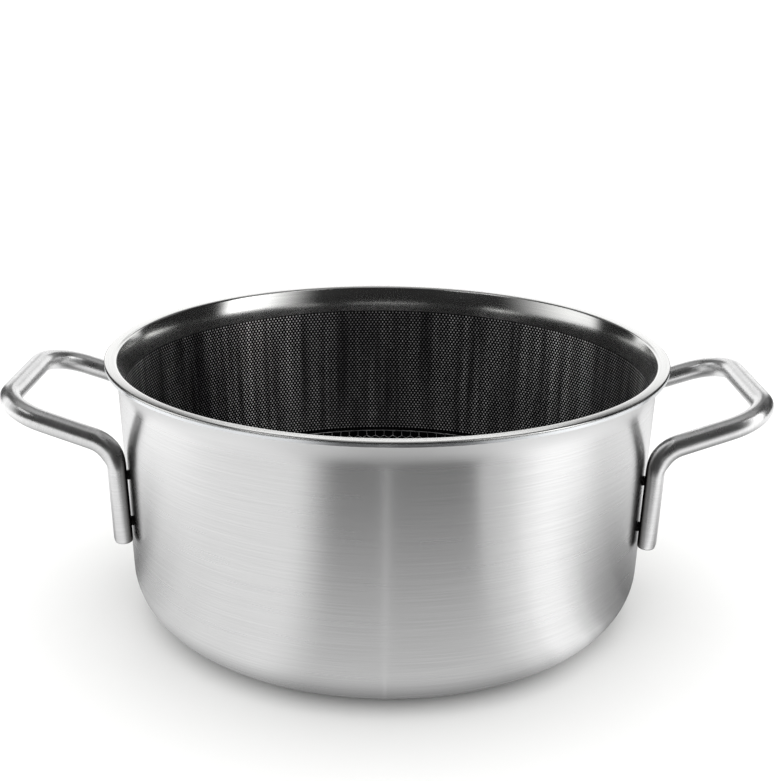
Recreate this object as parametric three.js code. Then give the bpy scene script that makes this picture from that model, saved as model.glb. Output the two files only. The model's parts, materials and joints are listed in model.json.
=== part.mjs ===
// Open cooking pot: a three-ply drawn body with a flared pouring lip, a non-stick coating on its
// inside, and two loop handles of bent rod, each held to the wall by four weld spots.
// Millimetres, +Z up. The origin is the middle of the flat base, on the surface that the pot stands
// on. The handles point along -X (left) and +X (right), and the front faces -Y.
import * as THREE from "three";

// Body
const RIM_INNER_DIAMETER = 240; // the nominal size: the inside of the wall, taken up to the rim plane
const POT_HEIGHT = 122;
const WALL_TAPER_DEG = 2; // how far the wall leans out from upright
const BASE_CORNER_RADIUS = 24.5; // outside of the drawn corner between the base and the wall
const LIP_OVERHANG = 4.9; // from the wall's outer line, at the rim plane, to the lip's cut edge
const FLARE_RADIUS = 25; // outside of the wall's last stretch, which turns out before the lip's bend
const FLARE_END_DEG = 20; // how far the flare leans out where the lip's bend takes over
const LIP_BEND_RADIUS = 1.5; // underside of the bend from the flare into the lip
const LIP_EDGE_BREAK = 0.4; // bevel that takes the sharpness off the cut edge

// Layers of the sheet, from the outside in
const OUTER_PLY_THICKNESS = 0.5;
const CORE_THICKNESS = 1.5;
const INNER_PLY_THICKNESS = 0.5;
const COATING_THICKNESS = 0.2;
const LAYER_CLEARANCE = 0.02; // air left between bonded layers, so that no two of them overlap
const BARE_BAND_HEIGHT = 13; // polished band between the coating's edge and the rim plane

// Handles, bent from round rod, with their legs coined flat
const ROD_DIAMETER = 9.6;
const LEG_THICKNESS = 7.85;
const LEG_WIDTH = 11.5;
const LEG_SPREAD = 88; // between the two legs of a handle, from rod centre to rod centre
const LEG_LENGTH = 44.7; // from the leg's foot up to where its line meets the arm's line
const LEG_FOOT_BEVEL = 1;
const LEG_BEND_RADIUS = 14.5; // rod centre line, between a leg and its arm
const LEG_BEND_BELOW_RIM = 33.8; // where the leg's and the arm's lines meet
const COIN_FADE_DEG = 30; // turn of this bend in which the coining fades out into the round rod
const ARM_TOE_IN = 1.9; // how far each arm closes in on its way out to the grip
const GRIP_CORNER_RADIUS = 20; // rod centre line, between an arm and the grip
const GRIP_BELOW_RIM = 16.9; // rod centre of the grip
const HAND_ROOM = 35; // from the lip's edge to the grip

// Weld spots between the legs and the wall
const WELD_GAP = 0.7; // from the wall to a leg's inner flat
const WELD_DIAMETER = 4.8;
const WELD_WAIST_DIAMETER = 4.2;
const WELD_CLEARANCE = 0.1; // air left at both ends of a weld spot
const LOWER_WELD_UP_LEG = 8.5; // from the leg's foot to the lower weld spot
const WELD_PITCH = 22; // from the lower to the upper weld spot

// Facets
const BODY_SEGMENTS = 60;
const BASE_CORNER_STEPS = 5;
const FLARE_STEPS = 3;
const LIP_BEND_STEPS = 4;
const ROD_SIDES = 16; // an even number, half of it for each side of a coined leg
const LEG_BEND_STEPS = 9;
const GRIP_CORNER_STEPS = 8;
const WELD_SEGMENTS = 16;

// Sizes that follow from those above
const TAPER = THREE.MathUtils.degToRad(WALL_TAPER_DEG);
const SHEET_THICKNESS = OUTER_PLY_THICKNESS + CORE_THICKNESS + INNER_PLY_THICKNESS;
const RIM_OUTER_RADIUS = RIM_INNER_DIAMETER / 2 + SHEET_THICKNESS / Math.cos(TAPER);
const LIP_RADIUS = RIM_OUTER_RADIUS + LIP_OVERHANG;
const FLARE_END = THREE.MathUtils.degToRad(FLARE_END_DEG);
const COATING_TOP = POT_HEIGHT - BARE_BAND_HEIGHT;
const ROD_RADIUS = ROD_DIAMETER / 2;

// Materials

function brushedSteel() {
  return new THREE.MeshStandardMaterial({ color: 0xc9c9c7, roughness: 0.35, metalness: 1 });
}

function polishedSteel() {
  return new THREE.MeshStandardMaterial({ color: 0xd6d6d4, roughness: 0.15, metalness: 1 });
}

function aluminium() {
  return new THREE.MeshStandardMaterial({ color: 0xdadcde, roughness: 0.45, metalness: 1 });
}

function nonStickCoating() {
  return new THREE.MeshStandardMaterial({ color: 0x1b1b1c, roughness: 0.4, metalness: 0 });
}

function darkWeld() {
  return new THREE.MeshStandardMaterial({ color: 0x2b2a2a, roughness: 0.7, metalness: 0.6 });
}

// Body

// Radius of the wall's outer face, as a straight line, at a height.
function wallRadius(height) {
  return RIM_OUTER_RADIUS - Math.tan(TAPER) * (POT_HEIGHT - height);
}

// Point on the wall at a height, at a depth into the sheet from its outer face.
function wallPoint(height, depth) {
  return new THREE.Vector2(wallRadius(height) - depth / Math.cos(TAPER), height);
}

// Points from the axis out along the base and round the corner, at a depth into the sheet.
function baseProfile(depth) {
  const radius = BASE_CORNER_RADIUS - depth;
  const centre = new THREE.Vector2(
    wallRadius(BASE_CORNER_RADIUS) - BASE_CORNER_RADIUS / Math.cos(TAPER),
    BASE_CORNER_RADIUS,
  );
  const points = [new THREE.Vector2(0, depth)];
  for (let step = 0; step <= BASE_CORNER_STEPS; step++) {
    const angle = ((Math.PI / 2 - TAPER) * step) / BASE_CORNER_STEPS;
    const outwards = new THREE.Vector2(Math.sin(angle), -Math.cos(angle));
    points.push(outwards.multiplyScalar(radius).add(centre));
  }
  return points;
}

// Points on an arc that turns out from the wall, between two leans from upright.
function outwardArc(centre, radius, firstLean, lastLean, steps) {
  return Array.from({ length: steps + 1 }, (_, step) => {
    const lean = THREE.MathUtils.lerp(firstLean, lastLean, step / steps);
    return new THREE.Vector2(-Math.cos(lean), Math.sin(lean)).multiplyScalar(radius).add(centre);
  });
}

// Points from the top of the wall up the flare, round the lip's bend and out to its cut edge.
function lipProfile(depth, edgeBreak) {
  const bendHeight = POT_HEIGHT - SHEET_THICKNESS - LIP_BEND_RADIUS;
  const centreStep = FLARE_RADIUS - LIP_BEND_RADIUS;
  const flareHeight = bendHeight - centreStep * Math.sin(FLARE_END);
  const flareCentre = new THREE.Vector2(
    wallRadius(flareHeight) + FLARE_RADIUS / Math.cos(TAPER),
    flareHeight,
  );
  const bendCentre = new THREE.Vector2(flareCentre.x - centreStep * Math.cos(FLARE_END), bendHeight);
  const flare = outwardArc(flareCentre, FLARE_RADIUS + depth, TAPER, FLARE_END, FLARE_STEPS);
  const bend = outwardArc(
    bendCentre, LIP_BEND_RADIUS + depth, FLARE_END, Math.PI / 2, LIP_BEND_STEPS,
  );
  const edge = new THREE.Vector2(LIP_RADIUS - edgeBreak, bend.at(-1).y);
  return [...flare, ...bend.slice(1), edge];
}

// A closed layer of revolution about the pot's axis, from its outer to its inner face.
function revolve(outerFace, innerFace) {
  const profile = [...outerFace, ...innerFace.reverse()];
  return new THREE.LatheGeometry(profile, BODY_SEGMENTS).rotateX(Math.PI / 2);
}

// One ply of the sheet between two depths. A ply on the outside of the sheet has its edge broken.
function ply(outerDepth, innerDepth) {
  const outerBreak = outerDepth === 0 ? LIP_EDGE_BREAK : 0;
  const innerBreak = innerDepth === SHEET_THICKNESS ? LIP_EDGE_BREAK : 0;
  const outerFace = [...baseProfile(outerDepth), ...lipProfile(outerDepth, outerBreak)];
  const innerFace = [...baseProfile(innerDepth), ...lipProfile(innerDepth, innerBreak)];
  const brokenEdge = new THREE.Vector2(LIP_RADIUS, 0);
  if (outerBreak) {
    brokenEdge.y = outerFace.at(-1).y + outerBreak;
    outerFace.push(brokenEdge);
  }
  if (innerBreak) {
    brokenEdge.y = innerFace.at(-1).y - innerBreak;
    innerFace.push(brokenEdge);
  }
  return revolve(outerFace, innerFace);
}

// The coating lies on the inner ply, from the middle of the base up to the bare band.
function coating() {
  const faces = [SHEET_THICKNESS + LAYER_CLEARANCE, SHEET_THICKNESS + COATING_THICKNESS].map(
    (depth) => [...baseProfile(depth), wallPoint(COATING_TOP, depth)],
  );
  return revolve(...faces);
}

// Handles

// The right-hand front leg's line: its angle round the pot and the rod centre at a height.
const ROD_FROM_WALL = (WELD_GAP + LEG_THICKNESS / 2) / Math.cos(TAPER);
const LEG_BEND_HEIGHT = POT_HEIGHT - LEG_BEND_BELOW_RIM;
const LEG_FOOT_HEIGHT = LEG_BEND_HEIGHT - LEG_LENGTH * Math.cos(TAPER);
const LEG_ANGLE = Math.asin(LEG_SPREAD / 2 / (wallRadius(LEG_BEND_HEIGHT) + ROD_FROM_WALL));

function legPoint(height) {
  const radius = wallRadius(height) + ROD_FROM_WALL;
  return new THREE.Vector3(radius * Math.cos(LEG_ANGLE), -radius * Math.sin(LEG_ANGLE), height);
}

// Direction straight out of the wall at a leg.
function outOfWall() {
  return new THREE.Vector3(
    Math.cos(TAPER) * Math.cos(LEG_ANGLE),
    -Math.cos(TAPER) * Math.sin(LEG_ANGLE),
    -Math.sin(TAPER),
  );
}

// Section of the round rod: x points away from the wall, y along it.
function rodSection() {
  return Array.from({ length: ROD_SIDES }, (_, side) => {
    const angle = ((side + 0.5) * 2 * Math.PI) / ROD_SIDES;
    return new THREE.Vector2(Math.cos(angle), Math.sin(angle)).multiplyScalar(ROD_RADIUS);
  });
}

// Section of a coined leg: two flats, one facing the wall, joined by half rounds.
function legSection(bevel) {
  const sidesPerHalf = ROD_SIDES / 2;
  const roundRadius = LEG_THICKNESS / 2 - bevel;
  const roundOffset = (LEG_WIDTH - LEG_THICKNESS) / 2;
  return Array.from({ length: ROD_SIDES }, (_, side) => {
    const half = Math.floor(side / sidesPerHalf);
    const angle = Math.PI * (half + (side % sidesPerHalf) / (sidesPerHalf - 1));
    return new THREE.Vector2(
      roundRadius * Math.cos(angle),
      (half === 0 ? roundOffset : -roundOffset) + roundRadius * Math.sin(angle),
    );
  });
}

// Section part of the way round a leg's bend, where the coined leg fades out into the rod.
function bendSection(turn) {
  const fade = THREE.MathUtils.smoothstep(THREE.MathUtils.radToDeg(turn), 0, COIN_FADE_DEG);
  const rod = rodSection();
  return legSection(0).map((point, side) => point.lerp(rod[side], fade));
}

// Points and directions round a bend at a corner between two others, and the turn made by then.
function bend(before, corner, after, radius, steps) {
  const arriving = corner.clone().sub(before).normalize();
  const leaving = after.clone().sub(corner).normalize();
  const turn = arriving.angleTo(leaving);
  const start = corner.clone().addScaledVector(arriving, -radius * Math.tan(turn / 2));
  const inwards = leaving.clone().addScaledVector(arriving, -leaving.dot(arriving)).normalize();
  const centre = start.clone().addScaledVector(inwards, radius);
  return Array.from({ length: steps + 1 }, (_, step) => {
    const turned = (turn * step) / steps;
    return {
      turned,
      point: centre
        .clone()
        .addScaledVector(inwards, -radius * Math.cos(turned))
        .addScaledVector(arriving, radius * Math.sin(turned)),
      direction: arriving
        .clone()
        .multiplyScalar(Math.cos(turned))
        .addScaledVector(inwards, Math.sin(turned)),
    };
  });
}

// Places a section at each station, carried along the line without twisting.
function placeSections(stations, firstNormal) {
  const normal = firstNormal.clone();
  let direction = stations[0].direction;
  return stations.map((station) => {
    normal.applyQuaternion(
      new THREE.Quaternion().setFromUnitVectors(direction, station.direction),
    );
    direction = station.direction;
    const across = direction.clone().cross(normal);
    return station.section.map(({ x, y }) =>
      station.point.clone().addScaledVector(normal, x).addScaledVector(across, y),
    );
  });
}

// A closed solid through rings of points, each ring with as many points as the next.
function loft(rings) {
  const sides = rings[0].length;
  const faces = [];
  for (let ring = 0; ring < rings.length - 1; ring++) {
    for (let side = 0; side < sides; side++) {
      const next = (side + 1) % sides;
      const a = ring * sides + side;
      const b = ring * sides + next;
      faces.push(a, b, b + sides, a, b + sides, a + sides);
    }
  }
  const lastRing = (rings.length - 1) * sides;
  for (let side = 1; side < sides - 1; side++) {
    faces.push(0, side + 1, side);
    faces.push(lastRing, lastRing + side, lastRing + side + 1);
  }
  return new THREE.BufferGeometry().setFromPoints(rings.flat()).setIndex(faces);
}

// The right handle: a front leg, arm and half grip, mirrored to the rear.
function handle() {
  const foot = legPoint(LEG_FOOT_HEIGHT);
  const legTop = legPoint(LEG_BEND_HEIGHT);
  const gripReach = LIP_RADIUS + HAND_ROOM + ROD_RADIUS;
  const gripHeight = POT_HEIGHT - GRIP_BELOW_RIM;
  const gripCorner = new THREE.Vector3(gripReach, ARM_TOE_IN - LEG_SPREAD / 2, gripHeight);
  const gripMiddle = new THREE.Vector3(gripReach, 0, gripHeight);

  const legBend = bend(foot, legTop, gripCorner, LEG_BEND_RADIUS, LEG_BEND_STEPS);
  const gripBend = bend(legTop, gripCorner, gripMiddle, GRIP_CORNER_RADIUS, GRIP_CORNER_STEPS);
  const upLeg = legBend[0].direction;
  const legStations = [
    { point: foot, section: legSection(LEG_FOOT_BEVEL) },
    { point: foot.clone().addScaledVector(upLeg, LEG_FOOT_BEVEL), section: legSection(0) },
  ].map((station) => ({ ...station, direction: upLeg }));
  const bendStations = legBend.map((station) => ({
    ...station,
    section: bendSection(station.turned),
  }));
  const rodStations = [
    ...gripBend,
    { point: gripMiddle, direction: gripBend.at(-1).direction },
  ].map((station) => ({ ...station, section: rodSection() }));

  const stations = [...legStations, ...bendStations, ...rodStations];
  const frontHalf = placeSections(stations, outOfWall());
  const mirrored = (ring) => ring.map(({ x, y, z }) => new THREE.Vector3(x, -y, z));
  const rearHalf = frontHalf.slice(0, -1).reverse().map(mirrored);
  return loft([...frontHalf, ...rearHalf]);
}

// Weld spots

// A weld spot between the wall and a leg: waisted, standing on the wall along its Y axis.
function weldSpot() {
  const length = WELD_GAP - 2 * WELD_CLEARANCE;
  const profile = [
    new THREE.Vector2(0, 0),
    new THREE.Vector2(WELD_DIAMETER / 2, 0),
    new THREE.Vector2(WELD_WAIST_DIAMETER / 2, length / 2),
    new THREE.Vector2(WELD_DIAMETER / 2, length),
    new THREE.Vector2(0, length),
  ];
  return new THREE.LatheGeometry(profile, WELD_SEGMENTS);
}

// Stands a weld spot on the wall under the right-hand front leg, or under the rear one.
function placeWeld(weld, upLeg, towardsRear) {
  const height = LEG_FOOT_HEIGHT + upLeg * Math.cos(TAPER);
  const rearwards = new THREE.Vector3(1, towardsRear ? -1 : 1, 1);
  const outwards = outOfWall();
  const fromRodCentre = WELD_CLEARANCE - WELD_GAP - LEG_THICKNESS / 2;
  weld.position.copy(legPoint(height).addScaledVector(outwards, fromRodCentre)).multiply(rearwards);
  weld.quaternion.setFromUnitVectors(new THREE.Vector3(0, 1, 0), outwards.multiply(rearwards));
}

// The pot

function piece(name, geometry, material) {
  const mesh = new THREE.Mesh(geometry, material);
  mesh.name = name;
  return mesh;
}

function potBody() {
  const coreTop = OUTER_PLY_THICKNESS + CORE_THICKNESS;
  const core = ply(OUTER_PLY_THICKNESS + LAYER_CLEARANCE, coreTop - LAYER_CLEARANCE);
  return new THREE.Group().add(
    piece("outer_ply", ply(0, OUTER_PLY_THICKNESS), brushedSteel()),
    piece("aluminium_core", core, aluminium()),
    piece("inner_ply", ply(coreTop, SHEET_THICKNESS), polishedSteel()),
    piece("nonstick_coating", coating(), nonStickCoating()),
  );
}

// A handle with its welds. The left one is the right one turned half round the pot's axis, which
// brings its front leg to the rear.
function handleGroup(side) {
  const group = new THREE.Group();
  const isLeft = side === "left";
  group.rotation.z = isLeft ? Math.PI : 0;
  group.add(piece(`${side}_handle`, handle(), polishedSteel()));
  for (const end of ["front", "rear"]) {
    for (const level of ["lower", "upper"]) {
      const weld = piece(`${side}_${end}_${level}_weld`, weldSpot(), darkWeld());
      const upLeg = LOWER_WELD_UP_LEG + (level === "upper" ? WELD_PITCH : 0);
      placeWeld(weld, upLeg, (end === "rear") !== isLeft);
      group.add(weld);
    }
  }
  return group;
}

const pot = new THREE.Group().add(potBody(), handleGroup("left"), handleGroup("right"));

export default pot;
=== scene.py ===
# Dresses an open cooking pot for a studio picture: smooth clad-steel body with a flared pouring lip,
# black non-stick inside with steel dots and a honeycomb, two bent-rod handles and their weld spots.
# Metres, +Z up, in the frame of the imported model. The handles lie along X and the front faces -Y.
import json
import math

import bpy
from mathutils import Matrix, Vector

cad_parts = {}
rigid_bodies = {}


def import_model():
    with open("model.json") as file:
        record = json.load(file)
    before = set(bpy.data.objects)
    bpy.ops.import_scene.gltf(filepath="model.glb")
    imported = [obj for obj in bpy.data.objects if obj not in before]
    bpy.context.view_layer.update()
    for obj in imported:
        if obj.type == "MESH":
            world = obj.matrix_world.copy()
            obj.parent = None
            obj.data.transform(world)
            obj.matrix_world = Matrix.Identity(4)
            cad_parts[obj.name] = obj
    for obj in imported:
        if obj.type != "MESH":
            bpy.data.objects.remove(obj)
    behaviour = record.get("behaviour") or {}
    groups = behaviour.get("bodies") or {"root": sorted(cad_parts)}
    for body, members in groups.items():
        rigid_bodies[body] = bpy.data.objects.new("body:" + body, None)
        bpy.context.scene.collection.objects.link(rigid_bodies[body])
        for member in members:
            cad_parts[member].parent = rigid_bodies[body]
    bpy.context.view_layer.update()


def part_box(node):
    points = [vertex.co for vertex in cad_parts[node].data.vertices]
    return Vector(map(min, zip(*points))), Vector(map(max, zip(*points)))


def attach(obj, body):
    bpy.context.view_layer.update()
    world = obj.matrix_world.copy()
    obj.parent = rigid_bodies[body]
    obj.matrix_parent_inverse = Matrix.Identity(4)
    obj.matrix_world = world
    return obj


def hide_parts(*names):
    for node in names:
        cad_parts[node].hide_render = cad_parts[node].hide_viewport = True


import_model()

MM = 0.001

# Body, from the frame
BODY_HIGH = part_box("inner_ply")[1]
POT_HEIGHT = BODY_HIGH.z
LIP_RADIUS = BODY_HIGH.x
COATING_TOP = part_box("nonstick_coating")[1].z

# Body, as drawn and pressed
LIP_OVERHANG = 4.9 * MM  # from the wall's outer line, at the rim plane, to the lip's cut edge
RIM_OUTER_RADIUS = LIP_RADIUS - LIP_OVERHANG
LEAN = math.radians(2)  # how far the wall leans out from upright
CORNER_RADIUS = 24.5 * MM  # outside of the corner between the base and the wall
FLARE_RADIUS = 25 * MM  # the wall's last stretch starts to turn out before the lip's bend
FLARE_END = math.radians(20)
LIP_BEND_RADIUS = 1.5 * MM
LIP_SHOULDER_RADIUS = 1.5 * MM  # the lip's top is pressed flat, so its inner bend is this tight
LIP_EDGE_ROUND_TOP = 0.9 * MM
LIP_EDGE_ROUND_UNDER = 0.45 * MM
BRUSHING_END_LOW = -2 * MM  # from the flare's start: the wall's brushing fades out from here
BRUSHING_END_HIGH = 6 * MM  # up to here

# Layers of the sheet, as depths from its outer face
PLY_JOINT_OUTER = 0.5 * MM
PLY_JOINT_INNER = 2.0 * MM
SHEET = 2.5 * MM
COATING_FACE = 2.7 * MM
COATING_EDGE_ROUND = 0.15 * MM

# Pattern that stands out of the coating
DOTS_IN_A_ROW = 400
DOT_ROW_PITCH = 1.35 * MM
DOT_DIAMETER = 0.92 * MM
DOT_TOP_DIAMETER = 0.84 * MM
DOT_PROUD = 0.06 * MM
DOT_ROOT = 0.05 * MM  # how far a dot reaches down into the coating
DOT_SIDES = 8
DOT_BANDS = 4  # pieces that the rows are shared out to
DOTS_BELOW_COATING_TOP = 0.9 * MM
HONEYCOMB_TOP = 39.4 * MM
HONEYCOMB_CELL = 5.0 * MM  # across a cell's flats
HONEYCOMB_LINE = 0.45 * MM  # width of a line, half of it sunk in the coating
HONEYCOMB_LINE_SIDES = 6
HONEYCOMB_LINE_POINTS = 3  # along each line, so that it follows the curved wall
ROW_STEP_IN_SIDES = 1.5  # from one row of cells to the next, as a share of a cell's side

# Handles, bent from round rod, with their legs coined flat
ROD_RADIUS = 4.8 * MM
LEG_THICKNESS = 7.85 * MM
LEG_WIDTH = 11.5 * MM
LEG_SPREAD = 88 * MM
LEG_LENGTH = 44.7 * MM
LEG_FOOT_ROUND = 1.0 * MM
LEG_BEND_RADIUS = 14.5 * MM
LEG_BEND_HEIGHT = POT_HEIGHT - 33.8 * MM
LEG_SIDE_TOP = LEG_BEND_HEIGHT + 4 * MM  # up to here the side that faces the wall is painted dark, as painted shade in the narrow gap
SHADE_SIDE_START = 0.25 * ROD_RADIUS  # that side starts here, counted from the leg's middle line
SHADE_SIDE_FADE = 0.9 * ROD_RADIUS  # and its painted shade is full this much nearer to the wall
COIN_FADE = math.radians(30)  # turn of the leg's bend in which the coining fades out
ARM_TOE_IN = 1.9 * MM
GRIP_CORNER_RADIUS = 20 * MM
GRIP_HEIGHT = POT_HEIGHT - 16.9 * MM
GRIP_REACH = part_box("right_handle")[1].x - ROD_RADIUS
WELD_GAP = 0.7 * MM
WELD_DIAMETER = 4.8 * MM
WELD_WAIST = 0.86  # of the weld's diameter
WELD_SINK = 0.05 * MM  # how far a weld runs into the wall and into the leg

# Mesh steps
BODY_SEGMENTS = 240
BASE_RINGS = 12
CORNER_STEPS = 20
WALL_STEPS = 12
FLARE_STEPS = 8
LIP_BEND_STEPS = 14
EDGE_STEPS = 6
ROD_SIDES = 48
LEG_STEPS = 6
LEG_BEND_STEPS = 28
ARM_STEPS = 6
GRIP_CORNER_STEPS = 28
GRIP_STEPS = 8
WELD_SIDES = 32
WELD_STEPS = 8
SHARP_ANGLE = math.radians(40)

# Shader nodes
NOISE_LOW = 0.3  # noise seldom leaves the range between these two
NOISE_HIGH = 0.7
VALUE_A = 2  # places of a Mix node's sockets, several of which have the same name
VALUE_B = 3
COLOUR_A = 6
COLOUR_B = 7
COLOUR_RESULT = 2


# Small helpers


def linear(hex_colour):
    """An sRGB hex colour as linear RGBA."""
    channels = [int(hex_colour[k:k + 2], 16) / 255 for k in (1, 3, 5)]
    return [c / 12.92 if c <= 0.04045 else ((c + 0.055) / 1.055) ** 2.4 for c in channels] + [1.0]


def smooth(share):
    """A share from 0 to 1 that starts and ends gently."""
    share = min(max(share, 0), 1)
    return share * share * (3 - 2 * share)


def add_node(tree, kind, inputs=None, **settings):
    """Adds a node, with its settings, and with its inputs set to values or linked to other sockets."""
    node = tree.nodes.new(kind)
    for name, value in settings.items():
        setattr(node, name, value)
    for key, value in (inputs or {}).items():
        if isinstance(value, bpy.types.NodeSocket):
            tree.links.new(value, node.inputs[key])
        else:
            node.inputs[key].default_value = value
    return node


def add_piece(name, vertices, faces, material):
    """A mesh object at the origin, smooth apart from its sharp edges."""
    mesh = bpy.data.meshes.new(name)
    mesh.from_pydata([tuple(v) for v in vertices], [], faces)
    mesh.materials.append(material)
    mesh.shade_smooth()
    mesh.set_sharp_from_angle(angle=SHARP_ANGLE)
    piece = bpy.data.objects.new(name, mesh)
    bpy.context.scene.collection.objects.link(piece)
    return piece


def tube_faces(rings, sides):
    """Faces of a tube whose points are listed ring by ring, with a cap at each end."""
    faces = []
    for ring in range(rings - 1):
        for side in range(sides):
            first = ring * sides + side
            second = ring * sides + (side + 1) % sides
            faces.append((first, second, second + sides, first + sides))
    faces.append(tuple(range(sides))[::-1])
    faces.append(tuple(range((rings - 1) * sides, rings * sides)))
    return faces


def settle(piece, slot, *nodes):
    """Lets a piece ride on the pot and hides the nodes that it stands for; its slot is not used."""
    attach(piece, "root")
    if nodes:
        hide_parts(*nodes)


# Finishes


def new_finish(name, **sockets):
    """A material with one principled shader, whose even values are set on its own sockets."""
    material = bpy.data.materials.new(name)
    material.use_nodes = True
    tree = material.node_tree
    tree.nodes.clear()
    shader = add_node(tree, "ShaderNodeBsdfPrincipled")
    for socket, value in sockets.items():
        shader.inputs[socket.replace("_", " ")].default_value = value
    add_node(tree, "ShaderNodeOutputMaterial", {"Surface": shader.outputs[0]})
    return material, tree, shader


def noise_between(tree, vector, low, high, **settings):
    """Noise on a vector, mapped from its middle range to a range of values."""
    noise = add_node(tree, "ShaderNodeTexNoise", {"Vector": vector, **settings})
    ranges = {"From Min": NOISE_LOW, "From Max": NOISE_HIGH, "To Min": low, "To Max": high}
    return add_node(
        tree, "ShaderNodeMapRange", {"Value": noise.outputs["Fac"], **ranges}
    ).outputs["Result"]


def turned_lines(tree, length, width):
    """Coordinates in which noise draws out into lines of a length and a width round the pot's axis."""
    place = add_node(tree, "ShaderNodeTexCoord").outputs["Object"]
    flat = add_node(tree, "ShaderNodeVectorMath", {0: place, 1: (1, 1, 0)}, operation="MULTIPLY")
    radius = add_node(tree, "ShaderNodeVectorMath", {0: flat.outputs[0]}, operation="LENGTH")
    height = add_node(tree, "ShaderNodeSeparateXYZ", {0: place})
    up_profile = add_node(
        tree, "ShaderNodeMath", {0: radius.outputs["Value"], 1: height.outputs["Z"]}, operation="ADD"
    )
    across = add_node(
        tree, "ShaderNodeMath", {0: up_profile.outputs[0], 1: 1 / width}, operation="MULTIPLY"
    )
    along = add_node(
        tree, "ShaderNodeVectorMath", {0: flat.outputs[0], "Scale": 1 / length}, operation="SCALE"
    )
    upright = add_node(tree, "ShaderNodeCombineXYZ", {"Z": across.outputs[0]})
    joined = add_node(tree, "ShaderNodeVectorMath", {0: along.outputs[0], 1: upright.outputs[0]})
    return joined.outputs[0]


def scaled_place(tree, size):
    """Object coordinates in which one unit is a pattern's size."""
    place = add_node(tree, "ShaderNodeTexCoord").outputs["Object"]
    scaled = add_node(tree, "ShaderNodeVectorMath", {0: place, "Scale": 1 / size}, operation="SCALE")
    return scaled.outputs[0]


def colour_between(tree, factor, first, second):
    """A colour between two hex colours by a factor."""
    mix = add_node(
        tree, "ShaderNodeMix",
        {"Factor": factor, COLOUR_A: linear(first), COLOUR_B: linear(second)}, data_type="RGBA",
    )
    return mix.outputs[COLOUR_RESULT]


def brushed_stainless():
    """Stainless steel, belt brushed round the pot: streaks up and down, with fine lines across them."""
    material, tree, shader = new_finish("brushed_stainless", Metallic=1.0, Anisotropic_Rotation=0.25)
    # Real brush lines are about 0.1 mm wide; these are coarse enough to show in the picture.
    fine = turned_lines(tree, 40 * MM, 0.4 * MM)
    broad = turned_lines(tree, 60 * MM, 2.4 * MM)
    shade = noise_between(tree, fine, 0.0, 1.0, Scale=1.0, Detail=3.0)
    steel = colour_between(tree, shade, "#d1d1d1", "#dadada")
    brushed = noise_between(tree, broad, 0.262, 0.275, Scale=1.0, Detail=2.0)
    groove = noise_between(tree, fine, 0.0, 1.0, Scale=1.0, Detail=4.0)
    bump = add_node(tree, "ShaderNodeBump", {"Height": groove, "Strength": 0.006, "Distance": 0.02 * MM})
    tangent = add_node(tree, "ShaderNodeTangent", direction_type="RADIAL", axis="Z")
    # The belt doesn't reach up into the flare, which stays as drawn, with hardly a direction; its colour
    # there is painted paler, a painted highlight on the strip under the lip.
    place = add_node(tree, "ShaderNodeTexCoord").outputs["Object"]
    height = add_node(tree, "ShaderNodeSeparateXYZ", {0: place}).outputs["Z"]
    drawn = add_node(
        tree, "ShaderNodeMapRange",
        {"Value": height, "From Min": FLARE_START + BRUSHING_END_LOW,
         "From Max": FLARE_START + BRUSHING_END_HIGH},
        interpolation_type="SMOOTHSTEP",
    ).outputs["Result"]
    roughness = add_node(tree, "ShaderNodeMix", {"Factor": drawn, VALUE_A: brushed, VALUE_B: 0.55})
    direction = add_node(tree, "ShaderNodeMapRange", {"Value": drawn, "To Min": 0.85, "To Max": 0.2})
    # Paler colour in the flare: painted highlight.
    steel_and_painted_flare = add_node(
        tree, "ShaderNodeMix",
        {"Factor": drawn, COLOUR_A: steel, COLOUR_B: linear("#e6e6e6")}, data_type="RGBA",
    )
    tree.links.new(steel_and_painted_flare.outputs[COLOUR_RESULT], shader.inputs["Base Color"])
    tree.links.new(roughness.outputs[0], shader.inputs["Roughness"])
    tree.links.new(direction.outputs["Result"], shader.inputs["Anisotropic"])
    tree.links.new(bump.outputs[0], shader.inputs["Normal"])
    tree.links.new(tangent.outputs[0], shader.inputs["Tangent"])
    return material


def polished_stainless():
    """Stainless steel, turned and polished: the lip and the band inside it, nearly a mirror."""
    material, tree, shader = new_finish("polished_stainless", Metallic=1.0, Anisotropic=0.7,
                                        Anisotropic_Rotation=0.25)
    lines = turned_lines(tree, 40 * MM, 0.5 * MM)
    shade = noise_between(tree, lines, 0.0, 1.0, Scale=1.0, Detail=2.0)
    steel = colour_between(tree, shade, "#cccccb", "#d6d6d4")
    roughness = noise_between(tree, lines, 0.15, 0.17, Scale=1.0, Detail=2.0)
    tangent = add_node(tree, "ShaderNodeTangent", direction_type="RADIAL", axis="Z")
    tree.links.new(steel, shader.inputs["Base Color"])
    tree.links.new(roughness, shader.inputs["Roughness"])
    tree.links.new(tangent.outputs[0], shader.inputs["Tangent"])
    return material


def sheared_aluminium():
    """Aluminium core, trimmed and smoothed: a paler, duller stripe in the lip's cut edge."""
    material, tree, shader = new_finish("sheared_aluminium", Metallic=1.0)
    lines = turned_lines(tree, 12 * MM, 0.3 * MM)
    shade = noise_between(tree, lines, 0.0, 1.0, Scale=1.0, Detail=2.0)
    tree.links.new(colour_between(tree, shade, "#c9cbcd", "#d8dadc"), shader.inputs["Base Color"])
    tree.links.new(noise_between(tree, lines, 0.2, 0.28, Scale=1.0), shader.inputs["Roughness"])
    return material


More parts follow.
